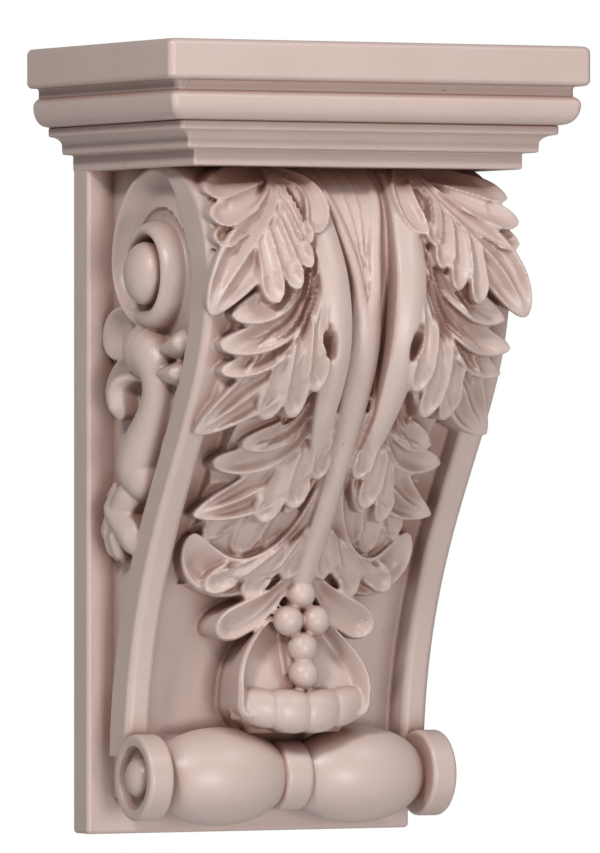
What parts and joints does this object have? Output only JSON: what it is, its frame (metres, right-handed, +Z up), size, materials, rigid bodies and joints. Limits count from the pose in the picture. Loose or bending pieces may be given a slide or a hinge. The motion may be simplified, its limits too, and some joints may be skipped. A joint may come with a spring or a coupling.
{
  "type": "scroll corbel",
  "caption": "Cast scroll corbel with a moulded cap, side volutes, hanging acanthus leaves, a bead drop in a husk and a turned foot roll, fixed to a wall by its flat back.",
  "frame": {"origin": "middle of the flat back, where it meets the wall, halfway up the corbel", "axes": "+Z up along the wall, the front faces -Y, +Y points into the wall, +X to the right of someone facing the corbel"},
  "size_m": [0.238, 0.165, 0.4],
  "materials": {
    "casting": "satin dusty pink-beige moulding skin with a fine orange-peel grain and a few pinholes"
  },
  "bodies": {
    "root": {"corbel": "casting"}
  },
  "joints": []
}
